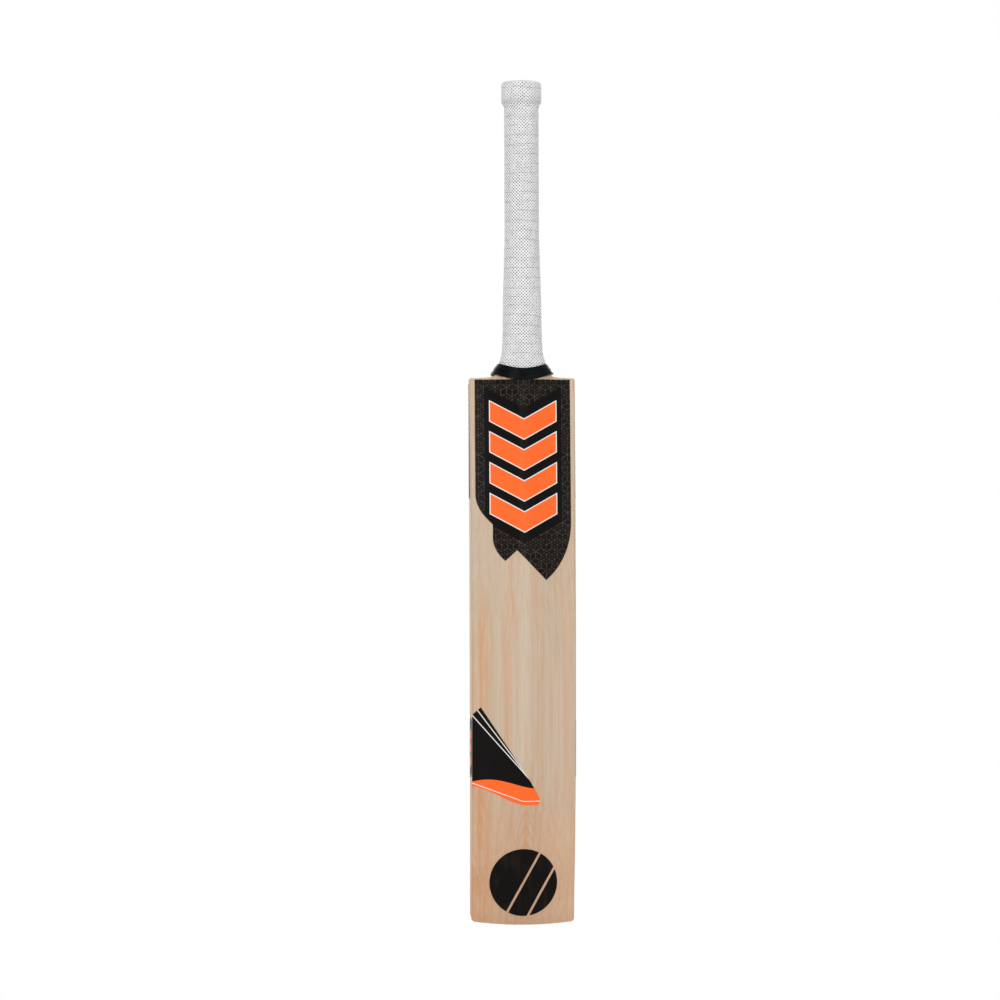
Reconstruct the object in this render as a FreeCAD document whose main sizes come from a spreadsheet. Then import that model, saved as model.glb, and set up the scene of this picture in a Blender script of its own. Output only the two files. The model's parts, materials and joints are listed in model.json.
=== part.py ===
"""Cricket bat, full-size short handle: a parametric FreeCAD document in millimetres.

The bat stands on its toe. +Z runs up to the handle, -Y is the playing face, +Y the back with the
spine and +X the right-hand edge seen from the face. The origin is under the middle of the bat.
"""

import FreeCAD, Part
import math
import os

from FreeCAD import Placement, Rotation, Vector

os.makedirs("parts", exist_ok=True)
doc = FreeCAD.newDocument("cricket_bat")

# ---------------------------------------------------------------- driving sizes

SIZES = {
    # Blade outline
    "shoulder_height": 549.0,  # shoulders above the toe
    "neck_rise": 5.0,  # how far the wood beside the handle's foot stands above the shoulders
    "neck_half_width": 24.0,
    "blade_half_width": 53.2,  # at the shoulders
    "toe_taper": 1.5,  # how much less the half width is at the toe
    "shoulder_corner": 2.2,  # radius between edge and shoulder
    "toe_corner": 3.5,
    "toe_sagitta": 3.5,  # rise of the toe's arc at the edges
    "toe_tilt": 6.0,  # degrees: the face side of the toe is higher
    "shoulder_bevel": 5.5,  # round between shoulder and face
    # Blade cross-section
    "face_setback": 26.0,  # origin to the straight line between the ends of the face
    "face_crown": 1.3,
    "face_round": 3.0,  # radius between face and edge
    "back_round": 2.5,  # radius between edge and back
    "ridge_half_width": 6.0,  # rounded crest of the spine
    # V splice
    "splice_ledge": 1.2,  # the V's mouth beyond the foot of the cane
    "splice_tip_half_width": 2.0,
    "splice_depth": 138.0,
    # Handle, along its own leaning axis from the shoulders
    "handle_lean": 3.3,  # degrees towards the face
    "handle_setback": 20.3,  # face line to handle axis at the shoulders
    "handle_length": 299.5,
    "cane_radius": 14.65,
    "spring_gap": 1.6,  # thickness of a rubber spring
    "twine_thickness": 1.0,
    "grip_wall": 1.8,
    "cuff_swell": 2.85,  # how far the rolled top stands out from the grip
    "cuff_length": 21.0,
    "cuff_round": 4.0,
    "cuff_fade": 8.0,  # length of the cone under the rolled top
    "lip_thickness": 2.5,
    "lip_radius": 9.0,
    # Tape and stickers
    "tape_thickness": 0.5,
    "sticker_thickness": 0.35,
    "face_shield_margin": 2.4,  # bare wood between a film's side and the blade's edge
    "back_shield_margin": 5.2,
    "flash_margin": 1.2,
    "label_margin": 6.8,
    "toe_film_radius": 34.0,
    "toe_film_gap": 2.4,  # bare wood between the pieces of the toe film
    "toe_film_height": 43.0,  # its middle above the toe
}

# Share of the way from toe to shoulders, how far the face is bowed in, the edge's thickness and
# the spine's height
STATIONS = [
    (-0.022, -0.8, 22.0, 24.4),
    (0.0, 0.0, 24.4, 27.2),
    (0.055, 1.8, 29.8, 33.8),
    (0.109, 3.7, 33.3, 39.6),
    (0.164, 5.0, 36.4, 47.6),
    (0.219, 5.9, 38.2, 55.2),
    (0.291, 6.8, 39.5, 60.8),
    (0.401, 6.9, 39.7, 63.0),
    (0.528, 6.1, 37.8, 60.8),
    (0.656, 4.8, 32.8, 55.2),
    (0.783, 3.1, 28.6, 48.9),
    (0.893, 1.6, 22.3, 43.8),
    (1.002, 0.0, 16.3, 40.0),
    (1.031, -0.4, 14.7, 39.2),
]
STATION_VALUES = ("share", "bow", "edge", "spine")

SECTION_COUNT = 18
SECTION_OVERRUN = 12.0  # how far the blade's sections run past its toe and its neck
REACH = 90.0  # half the length of a cutter that passes right through the blade
BELOW = -60.0  # where cutters that keep the whole lower blade begin

sheet = doc.addObject("Spreadsheet::Sheet", "sizes")


def fill_sheet():
    row = 1
    for name, value in SIZES.items():
        sheet.set(f"A{row}", name)
        sheet.set(f"B{row}", str(value))
        sheet.setAlias(f"B{row}", name)
        row += 1
    for index, station in enumerate(STATIONS):
        for name, value in zip(STATION_VALUES, station):
            alias = f"{name}_at_{index}"
            sheet.set(f"A{row}", alias)
            sheet.set(f"B{row}", str(value))
            sheet.setAlias(f"B{row}", alias)
            row += 1
    doc.recompute()


def size(name):
    return float(sheet.get(name))


fill_sheet()

# ---------------------------------------------------------------- small helpers


def add(kind, name, **properties):
    """A document object with its properties, recomputed."""
    thing = doc.addObject(kind, name)
    for key, value in properties.items():
        setattr(thing, key, value)
    doc.recompute()
    return thing


def common(name, base, tool):
    return add("Part::Common", name, Base=base, Tool=tool)


def cut(name, base, tool):
    return add("Part::Cut", name, Base=base, Tool=tool)


def line(start, end):
    return Part.LineSegment(Vector(*start), Vector(*end))


def arc(start, middle, end):
    return Part.Arc(Vector(*start), Vector(*middle), Vector(*end))


def bezier(*poles):
    curve = Part.BezierCurve()
    curve.setPoles([Vector(*pole) for pole in poles])
    return curve.toBSpline()


def quarter(start, corner, end):
    """A quarter of an ellipse from start to end, tangent to the sides of corner."""
    pull = 0.5523
    near = [s + (c - s) * pull for s, c in zip(start, corner)]
    far = [e + (c - e) * pull for e, c in zip(end, corner)]
    return bezier(start, near, far, end)


def sketch(name, curves, placement):
    outline = doc.addObject("Sketcher::SketchObject", name)
    outline.Placement = placement
    outline.addGeometry(curves, False)
    return outline


def loft(name, sections):
    return add("Part::Loft", name, Sections=sections, Solid=True, Ruled=False, MaxDegree=3)


def smooth(stations, column, level):
    """A value between stations, on a curve that never swings past them."""
    levels = [station[0] for station in stations]
    values = [station[column] for station in stations]
    steps = [b - a for a, b in zip(levels, levels[1:])]
    slopes = [(b - a) / step for a, b, step in zip(values, values[1:], steps)]
    tangents = [slopes[0]]
    for before, after in zip(slopes, slopes[1:]):
        even = 0.0 if before * after <= 0 else 2 * before * after / (before + after)
        tangents.append(even)
    tangents.append(slopes[-1])
    index = max(i for i in range(len(steps)) if level >= levels[i] or i == 0)
    part = (level - levels[index]) / steps[index]
    return (values[index] * (1 + 2 * part) * (1 - part) ** 2
            + values[index + 1] * part ** 2 * (3 - 2 * part)
            + tangents[index] * steps[index] * part * (1 - part) ** 2
            + tangents[index + 1] * steps[index] * part ** 2 * (part - 1))


UPRIGHT = Rotation(Vector(1, 0, 0), 90)  # sketch x, y become X, Z
SIDEWAYS = Rotation(Vector(1, 1, 1), 120)  # sketch x, y become Y, Z


def front_prism(name, curves, start, depth, shear=0.0):
    """An outline drawn in X and Z, carried along +Y from start."""
    outline = sketch(name + "_outline", curves, Placement(Vector(0, start, 0), UPRIGHT))
    return add("Part::Extrusion", name, Base=outline, DirMode="Custom", Solid=True,
               Dir=Vector(0, 1, -shear), LengthFwd=depth * math.hypot(1, shear))


def side_prism(name, curves, start, depth):
    """An outline drawn in Y and Z, carried along +X from start."""
    outline = sketch(name + "_outline", curves, Placement(Vector(start, 0, 0), SIDEWAYS))
    return add("Part::Extrusion", name, Base=outline, DirMode="Custom", Solid=True,
               Dir=Vector(1, 0, 0), LengthFwd=depth)


# ---------------------------------------------------------------- blade

shoulder = size("shoulder_height")
neck = shoulder + size("neck_rise")
face_line = -size("face_setback")
profile = [tuple(size(f"{value}_at_{number}") for value in STATION_VALUES)
           for number in range(len(STATIONS))]


def half_width_at(level):
    return size("blade_half_width") - size("toe_taper") * (1 - level / shoulder)


def level_of(index):
    step = (neck + 2 * SECTION_OVERRUN) / (SECTION_COUNT - 1)
    return index * step - SECTION_OVERRUN


def blade_section(name, index, skin):
    """One level cross-section, drawn out by skin: crowned face, flat edges, hollow flanks, ridge."""
    level = level_of(index)
    share = level / shoulder
    face = face_line + smooth(profile, 1, share)
    edge = smooth(profile, 2, share)
    spine = smooth(profile, 3, share)
    half = half_width_at(level)

    climb = math.atan((spine - edge) / half)
    ridge_slope = 1.35 * climb
    flank_slope = 0.55 * climb

    # Face: a shallow arc that meets the rounded corner on its tangent
    crown = size("face_crown")
    face_slope = math.atan(2 * crown / half)
    front_radius = size("face_round") + skin
    reach = front_radius * math.tan((math.pi / 2 - face_slope) / 2)
    corner = (half + skin, face - skin)
    face_end = (corner[0] - reach * math.cos(face_slope), corner[1] - reach * math.sin(face_slope))
    edge_start = (corner[0], corner[1] + reach)
    middle_turn = (math.pi / 2 - face_slope) / 2 + face_slope
    centre = (corner[0] - front_radius, edge_start[1])
    front_middle = (centre[0] + front_radius * math.sin(middle_turn),
                    centre[1] - front_radius * math.cos(middle_turn))
    face_middle = (0, face - crown - skin)

    # Back corner, between the edge and the flank
    back_radius = size("back_round") + skin
    slope_shift = math.cos(flank_slope) - (1 - math.sin(flank_slope)) * math.tan(flank_slope)
    back_corner = (half + skin, face + edge + skin * slope_shift)
    reach = back_radius * math.tan((math.pi / 2 - flank_slope) / 2)
    edge_end = (back_corner[0], back_corner[1] - reach)
    flank_start = (back_corner[0] - reach * math.cos(flank_slope),
                   back_corner[1] + reach * math.sin(flank_slope))
    middle_turn = (math.pi / 2 - flank_slope) / 2
    centre = (back_corner[0] - back_radius, edge_end[1])
    back_middle = (centre[0] + back_radius * math.cos(middle_turn),
                   centre[1] + back_radius * math.sin(middle_turn))

    # Ridge and hollow flank
    ridge_width = size("ridge_half_width")
    ridge_end = (ridge_width + skin * math.sin(ridge_slope),
                 face + spine - ridge_width * math.tan(ridge_slope / 2) + skin * math.cos(ridge_slope))
    ridge_top = (0, face + spine + skin)
    pull = 0.36 * math.dist(ridge_end, flank_start)
    flank_near = (flank_start[0] - pull * math.cos(flank_slope),
                  flank_start[1] + pull * math.sin(flank_slope))
    flank_far = (ridge_end[0] + pull * math.cos(ridge_slope),
                 ridge_end[1] - pull * math.sin(ridge_slope))

    def flat(point, side=1):
        return (side * point[0], point[1], 0)

    right = [
        arc(flat(face_end), flat(front_middle), flat(edge_start)),
        line(flat(edge_start), flat(edge_end)),
        arc(flat(edge_end), flat(back_middle), flat(flank_start)),
        bezier(flat(flank_start), flat(flank_near), flat(flank_far), flat(ridge_end)),
    ]
    left = [
        bezier(flat(ridge_end, -1), flat(flank_far, -1), flat(flank_near, -1), flat(flank_start, -1)),
        arc(flat(flank_start, -1), flat(back_middle, -1), flat(edge_end, -1)),
        line(flat(edge_end, -1), flat(edge_start, -1)),
        arc(flat(edge_start, -1), flat(front_middle, -1), flat(face_end, -1)),
    ]
    ridge = [arc(flat(ridge_end), flat(ridge_top), flat(ridge_end, -1))]
    front = [arc(flat(face_end, -1), flat(face_middle), flat(face_end))]
    place = Placement(Vector(0, 0, level), Rotation())
    return sketch(f"{name}_{index}", right + ridge + left + front, place)


def blade_loft(name, skin):
    sections = [blade_section(name + "_section", index, skin) for index in range(SECTION_COUNT)]
    doc.recompute()
    return loft(name, sections)


def toe_trim(name):
    """The wide arc of the toe with its rounded corners; the cut slopes up towards the face."""
    half = half_width_at(0.0)
    rise = size("toe_sagitta")
    radius = size("toe_corner")
    wide = half + 20
    high = neck + 60
    slope = 2 * rise / half
    start = (half - radius, rise - slope * radius, 0)
    side = (half + 0.05, rise + radius, 0)
    bend = (half - 0.28 * radius, rise + 0.26 * radius, 0)
    right = [arc(start, bend, side), line(side, (wide, rise + radius, 0)),
             line((wide, rise + radius, 0), (wide, high, 0))]
    left = [line((-wide, high, 0), (-wide, rise + radius, 0)),
            line((-wide, rise + radius, 0), (-side[0], side[1], 0)),
            arc((-side[0], side[1], 0), (-bend[0], bend[1], 0), (-start[0], start[1], 0))]
    top = [line((wide, high, 0), (-wide, high, 0))]
    bottom = [arc((-start[0], start[1], 0), (0, 0, 0), start)]
    shear = math.tan(math.radians(size("toe_tilt")))
    back = face_line + size("spine_at_1")
    depth = 140.0
    prism = front_prism(name, right + top + left + bottom, back - depth / 2, depth, shear)
    prism.Placement = Placement(Vector(0, 0, shear * depth / 2), Rotation())
    doc.recompute()
    return prism


def shoulder_trim(name):
    """The two shoulders: rounded outer corners, nearly flat tops, a sweep up to the neck."""
    half = half_width_at(shoulder)
    top = shoulder
    neck_half = size("neck_half_width")
    radius = size("shoulder_corner")
    wide = half + 20
    low = BELOW
    side = (half + 0.05, top - radius, 0)
    bend = (half - 0.29 * radius, top - 0.29 * radius, 0)
    flat_start = (half - radius, top, 0)
    sweep = 14.0
    flat_end = (neck_half + sweep, top + 0.5, 0)
    neck_end = (neck_half, neck, 0)
    right = [line((wide, low, 0), (wide, side[1], 0)), line((wide, side[1], 0), side),
             arc(side, bend, flat_start), line(flat_start, flat_end),
             bezier(flat_end, (neck_half + sweep / 2, top + 0.8, 0),
                    (neck_half + 3, top + 2.5, 0), neck_end)]
    left = [bezier((-neck_half, neck, 0), (-neck_half - 3, top + 2.5, 0),
                   (-neck_half - sweep / 2, top + 0.8, 0), (-flat_end[0], flat_end[1], 0)),
            line((-flat_end[0], flat_end[1], 0), (-flat_start[0], flat_start[1], 0)),
            arc((-flat_start[0], flat_start[1], 0), (-bend[0], bend[1], 0), (-side[0], side[1], 0)),
            line((-side[0], side[1], 0), (-wide, side[1], 0)), line((-wide, side[1], 0), (-wide, low, 0))]
    across = [line(neck_end, (-neck_half, neck, 0))]
    bottom = [line((-wide, low, 0), (wide, low, 0))]
    return front_prism(name, right + across + left + bottom, -REACH, 2 * REACH)


def bevel_trim(name):
    """Rounds the top of the blade over towards the face."""
    bevel = size("shoulder_bevel")
    front = face_line - 20
    back = face_line + REACH
    low = BELOW
    crown = face_line - size("face_crown") - 0.4
    turn = (crown, neck - 1.6 * bevel, 0)
    rest = (crown + bevel, neck, 0)
    outline = [line((front, low, 0), (back, low, 0)), line((back, low, 0), (back, neck, 0)),
               line((back, neck, 0), rest), quarter(rest, (crown, neck, 0), turn),
               line(turn, (front, turn[1], 0)), line((front, turn[1], 0), (front, low, 0))]
    return side_prism(name, outline, -REACH, 2 * REACH)


def blade_envelope(name, skin, trims):
    body = blade_loft(name + "_loft", skin)
    for number, trim in enumerate(trims):
        body = common(f"{name}_trim_{number}", body, trim)
    return body


trims = [toe_trim("toe_trim"), shoulder_trim("shoulder_trim"), bevel_trim("bevel_trim")]
envelope = blade_envelope("blade_envelope", 0.0, trims)


# Up the handle's axis: how much the cane widens sideways, and how much its cover adds at the foot
HANDLE_STATIONS = [
    (-6.0, 5.35, 2.2),
    (5.0, 5.2, 2.1),
    (12.0, 4.9, 1.6),
    (18.0, 4.6, 0.7),
    (26.0, 3.0, 0.25),
    (48.0, 2.3, 0.0),
    (78.0, 1.85, 0.0),
    (106.0, 1.1, 0.0),
    (136.0, 0.0, 0.0),
]


def splice_wedge(name):
    """The V that the handle fills, right through the blade from face to back."""
    mouth = size("cane_radius") + HANDLE_STATIONS[0][1] + size("splice_ledge")
    tip = size("splice_tip_half_width")
    top = neck + 6
    bottom = neck - size("splice_depth")
    outline = [line((-tip, bottom, 0), (tip, bottom, 0)), line((tip, bottom, 0), (mouth, top, 0)),
               line((mouth, top, 0), (-mouth, top, 0)), line((-mouth, top, 0), (-tip, bottom, 0))]
    return front_prism(name, outline, -REACH, 2 * REACH)


wedge = splice_wedge("splice_wedge")
blade = cut("blade", envelope, wedge)
splice = common("splice", envelope, wedge)

# ---------------------------------------------------------------- handle


def handle_frame():
    """The leaning frame: its origin on the handle's axis at the shoulders, its Z up the handle."""
    pivot = Vector(0, face_line + size("handle_setback"), shoulder)
    return Placement(pivot, Rotation(Vector(1, 0, 0), size("handle_lean")))


def oval(name, level, half_width, half_depth):
    """A level oval about the handle's axis, in the handle's own frame."""
    ellipse = Part.Ellipse(Vector(0, 0, 0), max(half_width, half_depth + 0.0001), half_depth)
    back, front = math.pi / 2, 1.5 * math.pi
    halves = [Part.ArcOfEllipse(ellipse, back, front), Part.ArcOfEllipse(ellipse, front, back + math.tau)]
    place = handle_frame().multiply(Placement(Vector(0, 0, level), Rotation()))
    return sketch(name, halves, place)


HANDLE_LEVELS = [-6, 0, 6, 12, 18, 24, 30, 36, 42, 50, 60, 74, 92, 114, 136]


def handle_loft(name, cover, flare):
    """The handle's outside, drawn out by cover: an oval foot below a round bar."""
    sections = []
    radius = size("cane_radius") + cover
    for level in HANDLE_LEVELS:
        foot = flare * smooth(HANDLE_STATIONS, 2, level)
        half_width = radius + smooth(HANDLE_STATIONS, 1, level) + foot
        half_depth = radius + 0.12 * foot
        sections.append(oval(f"{name}_section_{level + 6}", level, half_width, half_depth))
    doc.recompute()
    foot_loft = loft(name + "_foot", sections)
    bar = doc.addObject("Part::Cylinder", name + "_bar")
    bar.Radius = radius
    bar.Height = 200
    seam_back = Rotation(Vector(0, 0, 1), 90)
    bar.Placement = handle_frame().multiply(Placement(Vector(0, 0, HANDLE_LEVELS[-1]), seam_back))
    doc.recompute()
    return add("Part::Fuse", name, Base=foot_loft, Tool=bar)


def between(name, body, bottom, top):
    """The stretch of a handle loft between two levels of the handle's frame."""
    block = doc.addObject("Part::Box", name + "_block")
    block.Length, block.Width, block.Height = 120, 120, top - bottom
    block.Placement = handle_frame().multiply(Placement(Vector(-60, -60, bottom), Rotation()))
    doc.recompute()
    return common(name, body, block)


cane_top = size("handle_length") - size("lip_thickness")
cane_outside = handle_loft("cane_outside", 0.0, 0.0)
cane_core = between("cane_core", cane_outside, -2.0, cane_top)


def sawn(name, slab):
    """What one slab takes out of the handle: its length above the shoulders and in the splice."""
    above = common(name + "_above", cane_core, slab)
    within = common(name + "_within", splice, slab)
    return add("Part::Fuse", name, Base=above, Tool=within)


def handle_slab(name, left, right, front, back):
    """A long box in the handle's frame that cuts one stick or one spring out of the blank."""
    slab = doc.addObject("Part::Box", name)
    slab.Length = right - left
    slab.Width = back - front
    slab.setExpression("Height", "sizes.handle_length + sizes.splice_depth + 60")
    corner = Vector(left, front, -size("splice_depth") - 30)
    slab.Placement = handle_frame().multiply(Placement(corner, Rotation()))
    doc.recompute()
    return slab


SLIPS = ("front", "inner_front", "inner_back", "back")
ROWS = ("left", "centre", "right")
SPRINGS = ("front", "middle", "back")

radius = size("cane_radius")
gap = size("spring_gap")
slip = (2 * radius - 3 * gap) / 4
outside = REACH

parts = {"blade": blade}


def slip_range(index):
    front = -radius + index * (slip + gap)
    back = front + slip
    return (-outside if index == 0 else front), (outside if index == 3 else back)


def row_range(index):
    edges = (-outside, -radius / 3, radius / 3, outside)
    return edges[index], edges[index + 1]


for slip_index, slip_name in enumerate(SLIPS):
    front, back = slip_range(slip_index)
    for row_index, row_name in enumerate(ROWS):
        left, right = row_range(row_index)
        slab = handle_slab(f"slab_{slip_name}_{row_name}", left, right, front, back)
        node = f"cane_{slip_name}_{row_name}"
        parts[node] = sawn(node, slab)

for index, spring_name in enumerate(SPRINGS):
    front = -radius + (index + 1) * slip + index * gap
    slab = handle_slab(f"slab_spring_{spring_name}", -outside, outside, front, front + gap)
    node = f"rubber_spring_{spring_name}"
    parts[node] = sawn(node, slab)

# Twine and grip stand on the neck of the blade
twine = size("twine_thickness")
twine_outside = handle_loft("twine_outside", twine, 0.0)
twine_sleeve = cut("twine_sleeve", between("twine_bar", twine_outside, 0.0, cane_top), cane_outside)
parts["twine_binding"] = cut("twine_binding", twine_sleeve, envelope)


grip_radius = radius + twine + size("grip_wall")


def grip_cuff():
    """The rolled top of the grip: a short drum with a round upper edge, above a short cone."""
    length = size("handle_length")
    outer = grip_radius + size("cuff_swell")
    round_over = size("cuff_round")
    bottom = length - size("cuff_length")
    foot = bottom - size("cuff_fade")
    soft = 1.5
    bend = round_over * (1 - math.sqrt(0.5))
    outline = [
        line((0, foot, 0), (0, length, 0)),
        line((0, length, 0), (outer - round_over, length, 0)),
        arc((outer - round_over, length, 0), (outer - bend, length - bend, 0),
            (outer, length - round_over, 0)),
        line((outer, length - round_over, 0), (outer, bottom + soft, 0)),
        bezier((outer, bottom + soft, 0), (outer, bottom, 0),
               (outer - 0.6 * soft, bottom - soft, 0)),
        bezier((outer - 0.6 * soft, bottom - soft, 0), (grip_radius, bottom - 2.5 * soft, 0),
               (grip_radius - 0.1, foot, 0)),
        line((grip_radius - 0.1, foot, 0), (0, foot, 0)),
    ]
    profile_sketch = sketch("cuff_profile", outline, Placement(Vector(), UPRIGHT))
    drum = add("Part::Revolution", "cuff_drum", Source=profile_sketch, Axis=Vector(0, 0, 1), Angle=360,
               Solid=True)
    drum.Placement = handle_frame()
    doc.recompute()
    return drum


grip_outside = handle_loft("grip_outside", twine + size("grip_wall"), 1.0)
grip_bar = between("grip_bar", grip_outside, 0.0, size("handle_length") - size("cuff_round"))
grip_full = add("Part::Fuse", "grip_full", Base=grip_bar, Tool=grip_cuff())
mouth = doc.addObject("Part::Cylinder", "grip_mouth")
mouth.setExpression("Radius", "sizes.lip_radius")
mouth.setExpression("Height", "sizes.lip_thickness * 3")
mouth.Placement = handle_frame().multiply(Placement(Vector(0, 0, cane_top - 2), Rotation()))
doc.recompute()
grip_open = cut("grip_open", grip_full, mouth)
twine_bore = between("twine_bore", twine_outside, -4.0, cane_top)
grip_hollow = cut("grip_hollow", grip_open, twine_bore)
parts["rubber_grip"] = cut("rubber_grip", grip_hollow, envelope)

# ---------------------------------------------------------------- handle tape


def skirt_section(name, level, half_width, front, back, flat, skin):
    """A level outline of the taped foot: flat against the face, rounded towards the back."""
    wide = half_width + skin
    near, far = front - skin, back + skin
    middle = (near + far) / 2
    curves = [line((-flat, near, 0), (flat, near, 0)),
              quarter((flat, near, 0), (wide, near, 0), (wide, middle, 0)),
              quarter((wide, middle, 0), (wide, far, 0), (0, far, 0)),
              quarter((0, far, 0), (-wide, far, 0), (-wide, middle, 0)),
              quarter((-wide, middle, 0), (-wide, near, 0), (-flat, near, 0))]
    return sketch(name, curves, Placement(Vector(0, face_line, level), Rotation()))


# Height below the neck, how far the taped foot stands out from the grip's round bar to the sides,
# and half the flat stretch in front. Down on the blade the foot stands out from the face and from
# the spine, and above the neck it stands out from the grip's front and back.
SKIRT_ON_BLADE = [
    (14.0, 20.4, 28.0, 1.6, 1.5),
    (5.0, 17.8, 26.0, 1.5, 1.1),
    (0.0, 13.6, 20.0, 0.6, 0.3),
]
SKIRT_ON_GRIP = [
    (-5.0, 9.9, 4.0, 1.7, 1.4),
    (-10.0, 6.4, 1.0, 1.1, 0.5),
    (-15.0, 5.2, 1.0, 0.9, -0.3),
    (-20.0, 4.0, 1.0, 0.9, -0.6),
]
SKIRT_CLEAR = 1.0  # the least that the foot stands out from the grip beside the blade


def skirt(name, skin):
    sections = []
    grip_front = size("handle_setback") - grip_radius
    grip_back = size("handle_setback") + grip_radius
    spine = smooth(profile, 3, 1.0)
    for number, (drop, sides, flat, front, back) in enumerate(SKIRT_ON_BLADE + SKIRT_ON_GRIP):
        if number < len(SKIRT_ON_BLADE):
            near = min(-front, grip_front - SKIRT_CLEAR)
            far = max(spine + back, grip_back + SKIRT_CLEAR)
        else:
            near, far = grip_front - front, grip_back + back
        sections.append(skirt_section(f"{name}_{number}", neck - drop, grip_radius + sides, near, far,
                                      flat, skin))
    doc.recompute()
    return loft(name, sections)


def saddle_band(name, top_side, top_middle, low_side, low_middle):
    """The front outline of a wrap, in heights above the neck: high at the sides, sagging over the
    face, and a little higher over the back."""
    reach = 40.0
    climb = 0.09  # rise for each millimetre towards the back
    base = neck - climb * (face_line + REACH)

    def sag(side, middle, towards):
        """A parabola from one side to the other."""
        ends = (towards * reach, base + side, 0), (-towards * reach, base + side, 0)
        return bezier(ends[0], (0, base + 2 * middle - side, 0), ends[1])

    right_side = line((reach, base + low_side, 0), (reach, base + top_side, 0))
    left_side = line((-reach, base + top_side, 0), (-reach, base + low_side, 0))
    outline = [sag(top_side, top_middle, 1), left_side, sag(low_side, low_middle, -1), right_side]
    return front_prism(name, outline, -REACH, 2 * REACH, -climb)


tape = size("tape_thickness")
skirt_lower = skirt("skirt_lower", tape)
skirt_upper = skirt("skirt_upper", 2 * tape)
handle_outside = add("Part::Fuse", "handle_outside", Base=grip_outside, Tool=envelope)

lower_wrap = common("lower_wrap", skirt_lower, saddle_band("lower_band", 17.6, 1.5, 3.0, -10.4))
parts["handle_tape_lower"] = cut("handle_tape_lower", lower_wrap, handle_outside)
upper_wrap = common("upper_wrap", skirt_upper, saddle_band("upper_band", 16.4, 0.4, 9.0, -4.8))
upper_layer = cut("upper_layer", upper_wrap, skirt_lower)
parts["handle_tape_upper"] = cut("handle_tape_upper", upper_layer, handle_outside)

# ---------------------------------------------------------------- stickers

film = size("sticker_thickness")
film_shell = cut("film_shell", blade_envelope("film_envelope", film, trims), envelope)
half_blade = size("blade_half_width")
FACE_REACH = 28.0  # how deep a film's outline is carried through the blade
BACK_REACH = 100.0
EDGE_REACH = 20.0


def outline_of(*points):
    """A closed outline: a point draws a line, and two points before it bend that line."""
    curves = []
    last = points[0]
    bend = []
    for point in points[1:] + points[:1]:
        if point[0] == "bend":
            bend.append(point[1:])
            continue
        ends = [(x, z, 0) for x, z in [last, *bend, point]]
        curves.append(bezier(*ends) if bend else line(*ends))
        last, bend = point, []
    return curves


def face_film(name, curves):
    """A film on the face: the outline is drawn in X and Z."""
    parts[name] = common(name, film_shell,
                         front_prism(name + "_prism", curves, face_line - 20, FACE_REACH))


def back_film(name, curves):
    """A film on the back: the outline is drawn in X and Z."""
    parts[name] = common(name, film_shell,
                         front_prism(name + "_prism", curves, face_line + 13, BACK_REACH))


def edge_films(name, curves):
    """The same film on both edges: the outline is drawn in Y and Z."""
    inner = half_blade - 8
    for side, start in (("right", inner), ("left", -inner - EDGE_REACH)):
        node = f"{name}_{side}"
        parts[node] = common(node, film_shell,
                             side_prism(node + "_prism", curves, start, EDGE_REACH))


def face_shield_outline():
    """A square-topped shield whose foot is a slanting point beside a notch, seen from the face."""
    side = half_blade - size("face_shield_margin")
    return outline_of(
        (-side, shoulder - 5.3), (side, shoulder - 5.3), (side, shoulder - 127.5),
        ("bend", side, shoulder - 147.5), ("bend", 41.5, shoulder - 154.7), (33.5, shoulder - 160.7),
        (33.5, shoulder - 186.7), (6.5, shoulder - 186.7), (-25.0, shoulder - 217.0),
        ("bend", -39.0, shoulder - 205.0), ("bend", -side, shoulder - 191.0),
        (-side, shoulder - 169.0))


def back_shield_outline():
    """The back's shield: its long point hangs under the left half, seen from the face."""
    side = half_blade - size("back_shield_margin")
    return outline_of(
        (-side, shoulder - 1.4), (side, shoulder - 1.4), (side, shoulder - 116.0),
        ("bend", side, shoulder - 131.0), ("bend", 38.0, shoulder - 140.0), (31.0, shoulder - 147.0),
        (31.0, shoulder - 161.0),
        ("bend", 30.5, shoulder - 171.0), ("bend", 25.0, shoulder - 178.0), (19.0, shoulder - 183.5),
        (7.5, shoulder - 172.5), (-22.0, shoulder - 202.5),
        ("bend", -38.0, shoulder - 190.0), ("bend", -side, shoulder - 169.0),
        (-side, shoulder - 145.0))


def label_outline():
    right = half_blade - size("label_margin")
    left = right - 71.0
    top, bottom = shoulder - 223.0, shoulder - 257.0
    return outline_of((left, bottom), (right, bottom), (right, top), (left, top))


def flash_outline():
    """A long slanting flash on the back that starts at the right-hand edge, above the toe."""
    side = half_blade - size("flash_margin")
    return outline_of(
        (side, 140.2), (side, 211.5), (side - 8.5, 219.0), (side - 58.1, 144.0),
        ("bend", side - 61.2, 138.0), ("bend", side - 65.7, 132.0), (side - 67.3, 126.0),
        (side - 65.7, 121.8), (side - 49.7, 121.8),
        ("bend", side - 33.7, 125.0), ("bend", side - 17.7, 138.0))


def toe_film_outline(start, end):
    """A slice of a disc between two slanting lines, start and end from its middle."""
    radius = size("toe_film_radius")
    tilt = math.radians(28)

    def at(across, side):
        along = side * math.sqrt(max(radius ** 2 - across ** 2, 0.0))
        return (across * math.cos(tilt) - along * math.sin(tilt),
                size("toe_film_height") + across * math.sin(tilt) + along * math.cos(tilt), 0)

    def bow(first, last, side):
        share = (math.asin(first / radius) + math.asin(last / radius)) / 2
        return arc(at(first, side), at(radius * math.sin(share), side), at(last, side))

    curves = [bow(start, end, 1), bow(end, start, -1)]
    if end < radius:
        curves.insert(1, line(at(end, 1), at(end, -1)))
    if start > -radius:
        curves.append(line(at(start, -1), at(start, 1)))
    return curves


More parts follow.
